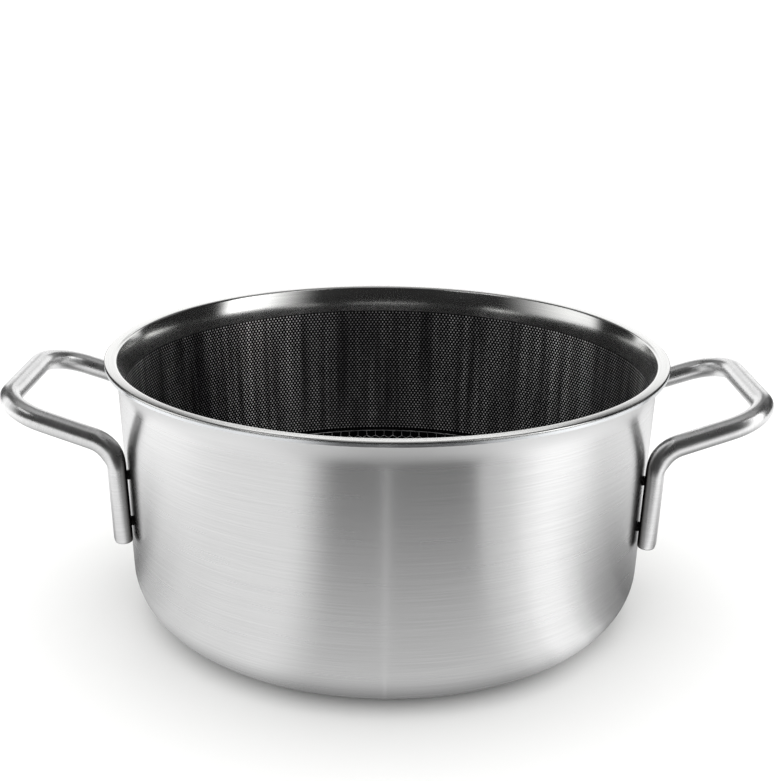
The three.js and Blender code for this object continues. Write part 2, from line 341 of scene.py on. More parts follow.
def rod_stainless():
    """Stainless rod, belt polished across its length: soft streaks along it, with fine lines round it."""
    material, tree, shader = new_finish("rod_stainless", Metallic=1.0)
    along = add_node(tree, "ShaderNodeAttribute", attribute_name="along")
    lines = add_node(
        tree, "ShaderNodeMath", {0: along.outputs["Fac"], 1: 1 / (0.4 * MM)}, operation="MULTIPLY"
    )
    cloud = scaled_place(tree, 6 * MM)
    grain = add_node(tree, "ShaderNodeCombineXYZ", {"X": lines.outputs[0]})
    drawn = add_node(tree, "ShaderNodeVectorMath", {0: cloud, 1: grain.outputs[0]})
    shade = noise_between(tree, drawn.outputs[0], 0.0, 1.0, Scale=1.0, Detail=3.0)
    polished = colour_between(tree, shade, "#d0d0d0", "#dedede")
    # The leg's side that faces the wall is painted dark grey: painted shade in the narrow gap between leg
    # and wall.
    painted_gap_shade = add_node(tree, "ShaderNodeAttribute", attribute_name="painted_gap_shade").outputs["Fac"]
    steel = add_node(
        tree, "ShaderNodeMix",
        {"Factor": painted_gap_shade, COLOUR_A: polished, COLOUR_B: linear("#3a3836")}, data_type="RGBA",
    ).outputs[COLOUR_RESULT]
    roughness = noise_between(tree, cloud, 0.26, 0.31, Scale=1.0, Detail=3.0)
    bump = add_node(tree, "ShaderNodeBump", {"Height": shade, "Strength": 0.012, "Distance": 0.02 * MM})
    tree.links.new(steel, shader.inputs["Base Color"])
    tree.links.new(roughness, shader.inputs["Roughness"])
    tree.links.new(bump.outputs[0], shader.inputs["Normal"])
    return material


def satin_nonstick():
    """Sprayed non-stick coating, baked on: satin black, with a fine orange peel and faint mottling."""
    material, tree, shader = new_finish("satin_nonstick", IOR=1.32, Specular_IOR_Level=0.15)
    peel = scaled_place(tree, 0.8 * MM)
    cloud = scaled_place(tree, 12 * MM)
    mottle = noise_between(tree, cloud, 0.0, 1.0, Scale=1.0, Detail=3.0)
    grain = noise_between(tree, peel, 0.0, 1.0, Scale=1.0, Detail=2.0)
    bump = add_node(tree, "ShaderNodeBump", {"Height": grain, "Strength": 0.25, "Distance": 0.03 * MM})
    tree.links.new(colour_between(tree, mottle, "#040405", "#080809"), shader.inputs["Base Color"])
    tree.links.new(noise_between(tree, cloud, 0.36, 0.46, Scale=1.0), shader.inputs["Roughness"])
    tree.links.new(bump.outputs[0], shader.inputs["Normal"])
    return material


def bare_pattern_steel():
    """Steel of the inner ply, where its raised pattern is ground bare of coating, with painted reflection
    streaks up and down in its colour.
    """
    material, tree, shader = new_finish("bare_pattern_steel", Metallic=0.97, Anisotropic=0.9,
                                        Anisotropic_Rotation=0.25)
    place = add_node(tree, "ShaderNodeTexCoord").outputs["Object"]
    width = 3.846 * MM
    length = 166.7 * MM
    scale = (1 / width, 1 / width, 1 / length)
    streaks = add_node(
        tree, "ShaderNodeVectorMath", {0: place, 1: scale}, operation="MULTIPLY"
    ).outputs[0]
    shade = noise_between(tree, streaks, 0.0, 1.0, Scale=1.0, Detail=2.0)
    tangent = add_node(tree, "ShaderNodeTangent", direction_type="RADIAL", axis="Z")
    # From mid grey to white in streaks up and down: painted reflection streaks on the dots and lines.
    tree.links.new(colour_between(tree, shade, "#8c8c8c", "#ffffff"), shader.inputs["Base Color"])
    tree.links.new(noise_between(tree, streaks, 0.4, 0.47, Scale=1.0), shader.inputs["Roughness"])
    tree.links.new(tangent.outputs[0], shader.inputs["Tangent"])
    return material


def scorched_weld():
    """Weld metal as it cooled: black, partly from its scale and partly as painted shade in the narrow gap
    between leg and wall; rough, with a little bare steel.
    """
    material, tree, shader = new_finish("scorched_weld", Metallic=0.6)
    scale = scaled_place(tree, 0.5 * MM)
    crust = noise_between(tree, scale, 0.0, 1.0, Scale=1.0, Detail=4.0)
    bump = add_node(tree, "ShaderNodeBump", {"Height": crust, "Strength": 0.5, "Distance": 0.05 * MM})
    # Near black: the weld's scale, and painted shade in the narrow gap.
    tree.links.new(colour_between(tree, crust, "#121110", "#2a2725"), shader.inputs["Base Color"])
    tree.links.new(noise_between(tree, scale, 0.5, 0.75, Scale=1.0), shader.inputs["Roughness"])
    tree.links.new(bump.outputs[0], shader.inputs["Normal"])
    return material


# Body


def wall_radius(height):
    """Radius of the wall's outer face, as a straight line, at a height."""
    return RIM_OUTER_RADIUS - math.tan(LEAN) * (POT_HEIGHT - height)


CORNER_CENTRE = (wall_radius(CORNER_RADIUS) - CORNER_RADIUS / math.cos(LEAN), CORNER_RADIUS)
LIP_BEND_HEIGHT = POT_HEIGHT - SHEET - LIP_BEND_RADIUS  # of the bend's centre
FLARE_START = (
    LIP_BEND_HEIGHT
    + (LIP_BEND_RADIUS - FLARE_RADIUS) * math.sin(FLARE_END)
    + FLARE_RADIUS * math.sin(LEAN)
)


def spread(first, last, steps):
    """Values from first to last, both included."""
    return [first + (last - first) * k / steps for k in range(steps + 1)]


def base_profile(depth):
    """Points (radius, height) from the axis out along the base and round the corner."""
    radius = CORNER_RADIUS - depth
    flat = [(r, depth) for r in spread(0, CORNER_CENTRE[0], BASE_RINGS)[:-1]]
    corner = [
        (CORNER_CENTRE[0] + radius * math.sin(turn), CORNER_CENTRE[1] - radius * math.cos(turn))
        for turn in spread(0, math.pi / 2 - LEAN, CORNER_STEPS)
    ]
    return flat + corner


def wall_profile(depth, top):
    """Points up the wall, above its corner, to a height on its outer face."""
    corner_end = CORNER_RADIUS * (1 - math.sin(LEAN))
    heights = spread(corner_end, top, WALL_STEPS)[1:]
    return [
        (wall_radius(z) - depth * math.cos(LEAN), z + depth * math.sin(LEAN))
        for z in heights
    ]


def lip_profile(depth):
    """Points from the flare round the lip's bend and out to its cut edge."""
    flare_centre = (
        wall_radius(FLARE_START) + FLARE_RADIUS * math.cos(LEAN),
        FLARE_START - FLARE_RADIUS * math.sin(LEAN),
    )
    bend_radius = LIP_BEND_RADIUS + depth
    bend_centre = (
        flare_centre[0] + (LIP_BEND_RADIUS - FLARE_RADIUS) * math.cos(FLARE_END),
        LIP_BEND_HEIGHT,
    )
    if depth == SHEET:
        tighter = bend_radius - LIP_SHOULDER_RADIUS
        inwards = tighter * (1 - math.sin(FLARE_END)) / math.cos(FLARE_END)
        bend_radius = LIP_SHOULDER_RADIUS
        bend_centre = (bend_centre[0] - inwards, bend_centre[1] + tighter)
    points = []
    for centre, radius, turns in (
        (flare_centre, FLARE_RADIUS + depth, spread(LEAN, FLARE_END, FLARE_STEPS)[1:-1]),
        (bend_centre, bend_radius, spread(FLARE_END, math.pi / 2, LIP_BEND_STEPS)),
    ):
        points += [
            (centre[0] - radius * math.cos(turn), centre[1] + radius * math.sin(turn)) for turn in turns
        ]
    return points


def lip_edge(depth):
    """Points of the cut edge of a face at a depth, rounded on the two faces of the sheet."""
    height = LIP_BEND_HEIGHT + LIP_BEND_RADIUS + depth
    if depth == 0:
        inwards = 1
        edge_round = LIP_EDGE_ROUND_UNDER
    elif depth == SHEET:
        inwards = -1
        edge_round = LIP_EDGE_ROUND_TOP
    else:
        return [(LIP_RADIUS, height)]
    return [
        (
            LIP_RADIUS - edge_round * (1 - math.sin(turn)),
            height + inwards * edge_round * (1 - math.cos(turn)),
        )
        for turn in spread(0, math.pi / 2, EDGE_STEPS)
    ]


def sheet_face(depth):
    """The whole profile of the sheet at a depth from its outer face."""
    return base_profile(depth) + wall_profile(depth, FLARE_START) + lip_profile(depth) + lip_edge(depth)


def revolve(name, outer_face, inner_face, material):
    """A closed layer turned about the pot's axis. Both faces run from the axis to the layer's edge."""
    profile = outer_face + inner_face[::-1]
    vertices = []
    rings = []
    for radius, height in profile:
        count = BODY_SEGMENTS if radius > 0 else 1
        rings.append(range(len(vertices), len(vertices) + count))
        for step in range(count):
            angle = 2 * math.pi * step / count
            vertices.append((radius * math.cos(angle), radius * math.sin(angle), height))
    faces = []
    for ring, following in zip(rings, rings[1:]):
        for step in range(BODY_SEGMENTS):
            after = (step + 1) % BODY_SEGMENTS
            corners = [ring[step % len(ring)], ring[after % len(ring)]]
            corners += [following[after % len(following)], following[step % len(following)]]
            faces.append(list(dict.fromkeys(corners)))
    return add_piece(name, vertices, faces, material)


def body():
    """The three bonded plies and the coating."""
    layers = (
        ("outer_wall", "outer_ply", "brushed_outer_steel", brushed_stainless(), 0, PLY_JOINT_OUTER),
        (
            "core_sheet", "aluminium_core", "core_aluminium", sheared_aluminium(),
            PLY_JOINT_OUTER, PLY_JOINT_INNER,
        ),
        ("inner_wall", "inner_ply", "polished_inner_steel", polished_stainless(), PLY_JOINT_INNER, SHEET),
    )
    for name, node, slot, material, outer, inner in layers:
        settle(revolve(name, sheet_face(outer), sheet_face(inner), material), slot, node)
    settle(coating(), "nonstick_black", "nonstick_coating")


def coating():
    """The coating, with a rounded edge below the bare band."""
    under = base_profile(SHEET) + wall_profile(SHEET, COATING_TOP - SHEET * math.sin(LEAN))
    face_top = COATING_TOP - COATING_EDGE_ROUND
    face = base_profile(COATING_FACE) + wall_profile(COATING_FACE, face_top - COATING_FACE * math.sin(LEAN))
    edge_radius = wall_radius(COATING_TOP) - COATING_FACE / math.cos(LEAN) + COATING_EDGE_ROUND
    edge = [
        (edge_radius - COATING_EDGE_ROUND * math.cos(turn), face_top + COATING_EDGE_ROUND * math.sin(turn))
        for turn in spread(0, math.pi / 2, EDGE_STEPS)[1:]
    ]
    return revolve("coating", under, face + edge, satin_nonstick())


# Pattern on the coating, grown by geometry nodes


def new_node_group(name, **inputs):
    """A geometry node group with named inputs and a finish, and the sockets that give them."""
    group = bpy.data.node_groups.new(name, "GeometryNodeTree")
    for words, kind in inputs.items():
        group.interface.new_socket(words.replace("_", " "), in_out="INPUT", socket_type="NodeSocket" + kind)
    group.interface.new_socket("Finish", in_out="INPUT", socket_type="NodeSocketMaterial")
    group.interface.new_socket("Geometry", in_out="OUTPUT", socket_type="NodeSocketGeometry")
    return group, add_node(group, "NodeGroupInput").outputs


def end_node_group(group, given, geometry):
    """Ends a node group: its instances are made real and take the finish."""
    real = add_node(group, "GeometryNodeRealizeInstances", {0: geometry})
    finished = add_node(
        group, "GeometryNodeSetMaterial", {"Geometry": real.outputs[0], "Material": given["Finish"]}
    )
    add_node(group, "NodeGroupOutput", {0: finished.outputs[0]})


def grow(name, group, values, material):
    """A piece that a node group makes, as a plain mesh."""
    piece = bpy.data.objects.new(name, bpy.data.meshes.new(name))
    bpy.context.scene.collection.objects.link(piece)
    modifier = piece.modifiers.new("pattern", "NODES")
    modifier.node_group = group
    for item in group.interface.items_tree:
        if item.in_out == "INPUT":
            modifier[item.identifier] = material if item.name == "Finish" else values[item.name]
    evaluated = piece.evaluated_get(bpy.context.evaluated_depsgraph_get())
    mesh = bpy.data.meshes.new_from_object(evaluated)
    piece.modifiers.remove(modifier)
    piece.data = mesh
    mesh.name = name
    return piece


def row_and_place(group, given, columns):
    """Row and place in the row of each point, with every other row set over by half a place."""
    index = add_node(group, "GeometryNodeInputIndex").outputs[0]
    share = add_node(group, "ShaderNodeMath", {0: index, 1: given[columns]}, operation="DIVIDE")
    row = add_node(group, "ShaderNodeMath", {0: share.outputs[0]}, operation="FLOOR")
    column = add_node(group, "ShaderNodeMath", {0: index, 1: given[columns]}, operation="MODULO")
    odd = add_node(group, "ShaderNodeMath", {0: row.outputs[0], 1: 2.0}, operation="MODULO")
    place = add_node(
        group, "ShaderNodeMath", {0: odd.outputs[0], 1: 0.5, 2: column.outputs[0]}, operation="MULTIPLY_ADD"
    )
    return row.outputs[0], place.outputs[0]


def dot_rows_group():
    """Rows of dots round the tapered wall, each dot a low stud that points out of the wall."""
    group, given = new_node_group(
        "dot_rows", Dots_in_a_row="Int", Rows="Int", Row_pitch="Float", Lowest_row="Float",
        Radius_at_base="Float", Lean="Float", Dot_radius="Float", Top_radius="Float", Dot_height="Float",
    )
    row, place = row_and_place(group, given, "Dots in a row")
    total = add_node(
        group, "ShaderNodeMath", {0: given["Dots in a row"], 1: given["Rows"]}, operation="MULTIPLY"
    )
    height = add_node(
        group, "ShaderNodeMath",
        {0: row, 1: given["Row pitch"], 2: given["Lowest row"]}, operation="MULTIPLY_ADD",
    )
    slope = add_node(group, "ShaderNodeMath", {0: given["Lean"]}, operation="TANGENT")
    radius = add_node(
        group, "ShaderNodeMath",
        {0: height.outputs[0], 1: slope.outputs[0], 2: given["Radius at base"]}, operation="MULTIPLY_ADD",
    )
    turn = add_node(group, "ShaderNodeMath", {0: place, 1: given["Dots in a row"]}, operation="DIVIDE")
    angle = add_node(group, "ShaderNodeMath", {0: turn.outputs[0], 1: 2 * math.pi}, operation="MULTIPLY")
    start = add_node(group, "ShaderNodeCombineXYZ", {"X": radius.outputs[0], "Z": height.outputs[0]})
    position = add_node(
        group, "ShaderNodeVectorRotate", {"Vector": start.outputs[0], "Angle": angle.outputs[0]},
        rotation_type="Z_AXIS",
    )
    points = add_node(
        group, "GeometryNodePoints", {"Count": total.outputs[0], "Position": position.outputs[0]}
    )
    tilt = add_node(group, "ShaderNodeMath", {0: given["Lean"], 1: math.pi / 2}, operation="SUBTRACT")
    turned = add_node(group, "ShaderNodeCombineXYZ", {"Y": tilt.outputs[0], "Z": angle.outputs[0]})
    rotation = add_node(group, "FunctionNodeEulerToRotation", {0: turned.outputs[0]})
    dot = add_node(
        group, "GeometryNodeMeshCone",
        {"Vertices": DOT_SIDES, "Radius Top": given["Top radius"], "Radius Bottom": given["Dot radius"],
         "Depth": given["Dot height"]},
    )
    dots = add_node(
        group, "GeometryNodeInstanceOnPoints",
        {"Points": points.outputs[0], "Instance": dot.outputs["Mesh"], "Rotation": rotation.outputs[0]},
    )
    end_node_group(group, given, dots.outputs[0])
    return group


def wall_dots(material):
    """The rows of dots from the bare band down to the honeycomb, shared out to a few pieces."""
    group = dot_rows_group()
    top_row = COATING_TOP - DOTS_BELOW_COATING_TOP
    rows = int((top_row - HONEYCOMB_TOP) / DOT_ROW_PITCH)
    rows_in_band = math.ceil(rows / DOT_BANDS / 2) * 2
    root_diameter = DOT_DIAMETER + (DOT_DIAMETER - DOT_TOP_DIAMETER) * DOT_ROOT / DOT_PROUD
    for band in range(DOT_BANDS):
        first = band * rows_in_band
        values = {
            "Dots in a row": DOTS_IN_A_ROW,
            "Rows": min(rows_in_band, rows - first),
            "Row pitch": DOT_ROW_PITCH,
            "Lowest row": top_row - (rows - 1 - first) * DOT_ROW_PITCH,
            "Radius at base": wall_radius(0) - COATING_FACE / math.cos(LEAN) + DOT_ROOT,
            "Lean": LEAN,
            "Dot radius": root_diameter / 2,
            "Top radius": DOT_TOP_DIAMETER / 2,
            "Dot height": DOT_ROOT + DOT_PROUD,
        }
        settle(grow(f"wall_dots_{band + 1}", group, values, material), "polished_inner_steel")


def cell_steps(group, given):
    """Length of a cell's side, and the step from one row of cells to the next."""
    side = add_node(group, "ShaderNodeMath", {0: given["Cell"], 1: math.sqrt(3)}, operation="DIVIDE")
    step = add_node(
        group, "ShaderNodeMath", {0: side.outputs[0], 1: ROW_STEP_IN_SIDES}, operation="MULTIPLY"
    )
    return side.outputs[0], step.outputs[0]


def three_lines(group, length):
    """Three lines from one point, 120 degrees apart: half of the corners of a honeycomb have one."""
    end = add_node(group, "ShaderNodeCombineXYZ", {"Y": length})
    line = add_node(group, "GeometryNodeCurvePrimitiveLine", {"End": end.outputs[0]})
    star = add_node(group, "GeometryNodeJoinGeometry")
    for turn in range(3):
        angle = add_node(group, "ShaderNodeCombineXYZ", {"Z": turn * math.radians(120)})
        turned = add_node(
            group, "GeometryNodeTransform", {"Geometry": line.outputs[0], "Rotation": angle.outputs[0]}
        )
        group.links.new(turned.outputs[0], star.inputs[0])
    return star.outputs[0]


def drawn_lines(group, given, lines):
    """Gives lines a round section, half of which stands out of the coating."""
    section = add_node(
        group, "GeometryNodeCurvePrimitiveCircle",
        {"Resolution": HONEYCOMB_LINE_SIDES, "Radius": given["Line radius"]},
    )
    drawn = add_node(
        group, "GeometryNodeCurveToMesh",
        {"Curve": lines, "Profile Curve": section.outputs[0], "Fill Caps": True},
    )
    return drawn.outputs[0]


def edge_ring(group, radius, height):
    """A line all round the pot."""
    circle = add_node(
        group, "GeometryNodeCurvePrimitiveCircle", {"Resolution": BODY_SEGMENTS, "Radius": radius}
    )
    lift = add_node(group, "ShaderNodeCombineXYZ", {"Z": height})
    placed = add_node(
        group, "GeometryNodeTransform", {"Geometry": circle.outputs[0], "Translation": lift.outputs[0]}
    )
    return placed.outputs[0]


def wall_honeycomb_group():
    """A honeycomb wrapped round the drawn corner and up the wall, closed by a ring at its top."""
    group, given = new_node_group(
        "wall_honeycomb", Cells_round="Int", Rows="Int", Lowest_row="Float", Cell="Float",
        Corner_radius="Float", Corner_centre="Float", Corner_height="Float", Lean="Float",
        Ring_radius="Float", Ring_height="Float", Line_radius="Float",
    )
    row, place = row_and_place(group, given, "Cells round")
    side, row_step = cell_steps(group, given)
    total = add_node(
        group, "ShaderNodeMath", {0: given["Cells round"], 1: given["Rows"]}, operation="MULTIPLY"
    )
    across = add_node(group, "ShaderNodeMath", {0: place, 1: given["Cell"]}, operation="MULTIPLY")
    up = add_node(
        group, "ShaderNodeMath",
        {0: row, 1: row_step, 2: given["Lowest row"]}, operation="MULTIPLY_ADD",
    )
    flat = add_node(group, "ShaderNodeCombineXYZ", {"X": across.outputs[0], "Y": up.outputs[0]})
    points = add_node(group, "GeometryNodePoints", {"Count": total.outputs[0], "Position": flat.outputs[0]})
    stars = add_node(
        group, "GeometryNodeInstanceOnPoints",
        {"Points": points.outputs[0], "Instance": three_lines(group, side)},
    )
    real = add_node(group, "GeometryNodeRealizeInstances", {0: stars.outputs[0]})
    stepped = add_node(
        group, "GeometryNodeResampleCurve", {"Curve": real.outputs[0], "Count": HONEYCOMB_LINE_POINTS}
    )

    # From the flat honeycomb to the pot: x goes round, y up the corner's arc and then up the wall.
    here = add_node(group, "GeometryNodeInputPosition")
    spot = add_node(group, "ShaderNodeSeparateXYZ", {0: here.outputs[0]})
    girth = add_node(
        group, "ShaderNodeMath", {0: given["Cells round"], 1: given["Cell"]}, operation="MULTIPLY"
    )
    turn = add_node(
        group, "ShaderNodeMath", {0: spot.outputs["X"], 1: girth.outputs[0]}, operation="DIVIDE"
    )
    angle = add_node(group, "ShaderNodeMath", {0: turn.outputs[0], 1: 2 * math.pi}, operation="MULTIPLY")
    corner_turn = add_node(
        group, "ShaderNodeMath", {0: spot.outputs["Y"], 1: given["Corner radius"]}, operation="DIVIDE"
    )
    full_turn = add_node(group, "ShaderNodeMath", {0: math.pi / 2, 1: given["Lean"]}, operation="SUBTRACT")
    bent = add_node(
        group, "ShaderNodeMath", {0: corner_turn.outputs[0], 1: full_turn.outputs[0]}, operation="MINIMUM"
    )
    over_turn = add_node(
        group, "ShaderNodeMath", {0: corner_turn.outputs[0], 1: bent.outputs[0]}, operation="SUBTRACT"
    )
    over = add_node(
        group, "ShaderNodeMath", {0: over_turn.outputs[0], 1: given["Corner radius"]}, operation="MULTIPLY"
    )
    sine = add_node(group, "ShaderNodeMath", {0: bent.outputs[0]}, operation="SINE")
    cosine = add_node(group, "ShaderNodeMath", {0: bent.outputs[0]}, operation="COSINE")
    lean_sine = add_node(group, "ShaderNodeMath", {0: given["Lean"]}, operation="SINE")
    lean_cosine = add_node(group, "ShaderNodeMath", {0: given["Lean"]}, operation="COSINE")
    out_corner = add_node(
        group, "ShaderNodeMath",
        {0: sine.outputs[0], 1: given["Corner radius"], 2: given["Corner centre"]},
        operation="MULTIPLY_ADD",
    )
    out = add_node(
        group, "ShaderNodeMath",
        {0: over.outputs[0], 1: lean_sine.outputs[0], 2: out_corner.outputs[0]}, operation="MULTIPLY_ADD",
    )
    drop = add_node(
        group, "ShaderNodeMath", {0: cosine.outputs[0], 1: given["Corner radius"]}, operation="MULTIPLY"
    )
    up_corner = add_node(
        group, "ShaderNodeMath", {0: given["Corner height"], 1: drop.outputs[0]}, operation="SUBTRACT"
    )
    high = add_node(
        group, "ShaderNodeMath",
        {0: over.outputs[0], 1: lean_cosine.outputs[0], 2: up_corner.outputs[0]}, operation="MULTIPLY_ADD",
    )
    start = add_node(group, "ShaderNodeCombineXYZ", {"X": out.outputs[0], "Z": high.outputs[0]})
    wrapped = add_node(
        group, "ShaderNodeVectorRotate", {"Vector": start.outputs[0], "Angle": angle.outputs[0]},
        rotation_type="Z_AXIS",
    )
    placed = add_node(
        group, "GeometryNodeSetPosition", {"Geometry": stepped.outputs[0], "Position": wrapped.outputs[0]}
    )
    lines = add_node(group, "GeometryNodeJoinGeometry", {0: placed.outputs[0]})
    group.links.new(edge_ring(group, given["Ring radius"], given["Ring height"]), lines.inputs[0])
    end_node_group(group, given, drawn_lines(group, given, lines.outputs[0]))
    return group


def base_honeycomb_group():
    """A flat honeycomb on the base, ended by a ring at its edge."""
    group, given = new_node_group(
        "base_honeycomb", Cells_across="Int", Cell="Float", Floor="Float", Ring_radius="Float",
        Line_radius="Float",
    )
    row, place = row_and_place(group, given, "Cells across")
    side, row_step = cell_steps(group, given)
    total = add_node(
        group, "ShaderNodeMath", {0: given["Cells across"], 1: given["Cells across"]}, operation="MULTIPLY"
    )
    middle = add_node(group, "ShaderNodeMath", {0: given["Cells across"], 1: 0.5}, operation="MULTIPLY")
    from_middle = [
        add_node(group, "ShaderNodeMath", {0: value, 1: middle.outputs[0]}, operation="SUBTRACT")
        for value in (place, row)
    ]
    across, up = [
        add_node(group, "ShaderNodeMath", {0: count.outputs[0], 1: step}, operation="MULTIPLY")
        for count, step in zip(from_middle, (given["Cell"], row_step))
    ]
    flat = add_node(
        group, "ShaderNodeCombineXYZ", {"X": across.outputs[0], "Y": up.outputs[0], "Z": given["Floor"]}
    )
    points = add_node(group, "GeometryNodePoints", {"Count": total.outputs[0], "Position": flat.outputs[0]})
    room = add_node(group, "ShaderNodeMath", {0: given["Ring radius"], 1: side}, operation="SUBTRACT")
    here = add_node(group, "GeometryNodeInputPosition")
    level = add_node(
        group, "ShaderNodeVectorMath", {0: here.outputs[0], 1: (1, 1, 0)}, operation="MULTIPLY"
    )
    away = add_node(group, "ShaderNodeVectorMath", {0: level.outputs[0]}, operation="LENGTH")
    outside = add_node(
        group, "ShaderNodeMath", {0: away.outputs["Value"], 1: room.outputs[0]}, operation="GREATER_THAN"
    )
    kept = add_node(
        group, "GeometryNodeDeleteGeometry",
        {"Geometry": points.outputs[0], "Selection": outside.outputs[0]}, domain="POINT",
    )
    stars = add_node(
        group, "GeometryNodeInstanceOnPoints",
        {"Points": kept.outputs[0], "Instance": three_lines(group, side)},
    )
    real = add_node(group, "GeometryNodeRealizeInstances", {0: stars.outputs[0]})
    lines = add_node(group, "GeometryNodeJoinGeometry", {0: real.outputs[0]})
    group.links.new(edge_ring(group, given["Ring radius"], given["Floor"]), lines.inputs[0])
    end_node_group(group, given, drawn_lines(group, given, lines.outputs[0]))
    return group


def honeycomb(material):
    """The honeycomb on the wall's foot and the corner, and the one on the base."""
    face_radius = CORNER_RADIUS - COATING_FACE
    side = HONEYCOMB_CELL / math.sqrt(3)
    row_step = ROW_STEP_IN_SIDES * side
    arc = face_radius * (math.pi / 2 - LEAN)
    arc_top = CORNER_RADIUS - face_radius * math.sin(LEAN)
    run = arc + (HONEYCOMB_TOP - arc_top) / math.cos(LEAN)
    ring_radius = wall_radius(HONEYCOMB_TOP) - COATING_FACE / math.cos(LEAN)
    cells_round = round(2 * math.pi * ring_radius / HONEYCOMB_CELL)
    rows = int((run - row_step) / row_step) + 1
    wall_values = {
        "Cells round": cells_round,
        "Rows": rows,
        "Lowest row": run - side - (rows - 1) * row_step,
        "Cell": HONEYCOMB_CELL,
        "Corner radius": face_radius,
        "Corner centre": CORNER_CENTRE[0],
        "Corner height": CORNER_CENTRE[1],
        "Lean": LEAN,
        "Ring radius": ring_radius,
        "Ring height": HONEYCOMB_TOP,
        "Line radius": HONEYCOMB_LINE / 2,
    }
    wall = grow("wall_honeycomb", wall_honeycomb_group(), wall_values, material)
    settle(wall, "polished_inner_steel")
    base_values = {
        "Cells across": math.ceil(2 * CORNER_CENTRE[0] / row_step) + 2,
        "Cell": HONEYCOMB_CELL,
        "Floor": COATING_FACE,
        "Ring radius": CORNER_CENTRE[0] - HONEYCOMB_LINE,
        "Line radius": HONEYCOMB_LINE / 2,
    }
    base = grow("base_honeycomb", base_honeycomb_group(), base_values, material)
    settle(base, "polished_inner_steel")


# Handles

ROD_FROM_WALL = (WELD_GAP + LEG_THICKNESS / 2) / math.cos(LEAN)
LEG_ANGLE = math.asin(LEG_SPREAD / 2 / (wall_radius(LEG_BEND_HEIGHT) + ROD_FROM_WALL))
OUT_OF_WALL = Vector((
    math.cos(LEAN) * math.cos(LEG_ANGLE),
    -math.cos(LEAN) * math.sin(LEG_ANGLE),
    -math.sin(LEAN),
))


def leg_point(height):
    """Rod centre of the right-hand front leg at a height."""
    radius = wall_radius(height) + ROD_FROM_WALL
    return Vector((radius * math.cos(LEG_ANGLE), -radius * math.sin(LEG_ANGLE), height))


def rod_section():
    """Section of the round rod: x points away from the wall, y along it."""
    turns = [2 * math.pi * (side + 0.5) / ROD_SIDES for side in range(ROD_SIDES)]
    return [Vector((ROD_RADIUS * math.cos(turn), ROD_RADIUS * math.sin(turn))) for turn in turns]


def leg_section(inset):
    """Section of a coined leg: two flats, one facing the wall, joined by half rounds."""
    half_sides = ROD_SIDES // 2
    radius = LEG_THICKNESS / 2 - inset
    offset = (LEG_WIDTH - LEG_THICKNESS) / 2
    points = []
    for half, shift in ((0, offset), (1, -offset)):
        for side in range(half_sides):
            turn = math.pi * (half + side / (half_sides - 1))
            points.append(Vector((radius * math.cos(turn), shift + radius * math.sin(turn))))
    return points


def bend_section(turned):
    """Section part of the way round a leg's bend, where the coined leg fades out into the rod."""
    fade = smooth(turned / COIN_FADE)
    return [leg.lerp(rod, fade) for leg, rod in zip(leg_section(0), rod_section())]


def bend(before, corner, after, radius, steps):
    """Turns, points and directions round a bend at a corner between two other points."""
    arriving = (corner - before).normalized()
    leaving = (after - corner).normalized()
    turn = arriving.angle(leaving)
    start = corner - arriving * radius * math.tan(turn / 2)
    inwards = (leaving - arriving * leaving.dot(arriving)).normalized()
    centre = start + inwards * radius
    return [
        (
            turned,
            centre - inwards * radius * math.cos(turned) + arriving * radius * math.sin(turned),
            arriving * math.cos(turned) + inwards * math.sin(turned),
        )
        for turned in spread(0, turn, steps)
    ]


def straight(first, last, steps):
    """Points between two others, both left out."""
    return [first.lerp(last, k / steps) for k in range(1, steps)]


def handle_stations():
    """Points, directions and sections from the right-hand front foot to the middle of the grip."""
    foot_height = LEG_BEND_HEIGHT - LEG_LENGTH * math.cos(LEAN)
    foot = leg_point(foot_height)
    leg_top = leg_point(LEG_BEND_HEIGHT)
    grip_corner = Vector((GRIP_REACH, ARM_TOE_IN - LEG_SPREAD / 2, GRIP_HEIGHT))
    grip_middle = Vector((GRIP_REACH, 0, GRIP_HEIGHT))
    leg_bend = bend(foot, leg_top, grip_corner, LEG_BEND_RADIUS, LEG_BEND_STEPS)
    grip_bend = bend(leg_top, grip_corner, grip_middle, GRIP_CORNER_RADIUS, GRIP_CORNER_STEPS)
    up_leg = leg_bend[0][2]
    along_arm = leg_bend[-1][2]
    along_grip = grip_bend[-1][2]

    stations = []
    for turn in spread(0, math.pi / 2, EDGE_STEPS):
        raised = foot + up_leg * LEG_FOOT_ROUND * (1 - math.cos(turn))
        stations.append((raised, up_leg, leg_section(LEG_FOOT_ROUND * (1 - math.sin(turn)))))
    leg_start = stations[-1][0]
    stations += [(p, up_leg, leg_section(0)) for p in straight(leg_start, leg_bend[0][1], LEG_STEPS)]
    stations += [(p, way, bend_section(turned)) for turned, p, way in leg_bend]
    stations += [
        (p, along_arm, rod_section()) for p in straight(leg_bend[-1][1], grip_bend[0][1], ARM_STEPS)
    ]
    stations += [(p, way, rod_section()) for _, p, way in grip_bend]
    stations += [
        (p, along_grip, rod_section()) for p in straight(grip_bend[-1][1], grip_middle, GRIP_STEPS)
    ]
    stations.append((grip_middle, along_grip, rod_section()))
    return stations


